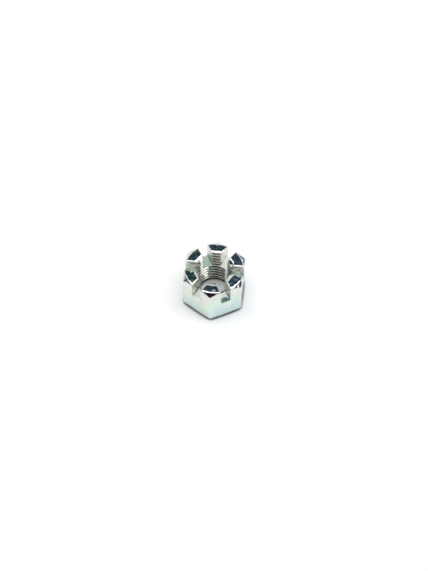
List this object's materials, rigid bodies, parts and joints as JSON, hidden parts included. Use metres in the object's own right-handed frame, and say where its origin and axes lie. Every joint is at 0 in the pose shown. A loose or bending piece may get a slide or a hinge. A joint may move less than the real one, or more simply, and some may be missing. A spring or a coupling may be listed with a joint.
{
  "type": "slotted hex nut",
  "caption": "Hexagonal castle nut with slots across its upper end for a split pin, prongs with rounded edges, turned corners and a countersunk tapped hole right through.",
  "frame": {"origin": "centre of the bearing face, on the thread's axis", "axes": "+Z along the thread's axis from the bearing face to the slotted end, +X along one pair of slots and square to two flats, +Y through two opposite corners of the hexagon"},
  "size_m": [0.019, 0.0218, 0.0145],
  "materials": {
    "zinc_plated_steel": "bright zinc plating, tumbled, lightly mottled"
  },
  "bodies": {
    "root": {"castle_nut": "zinc_plated_steel"}
  },
  "joints": []
}
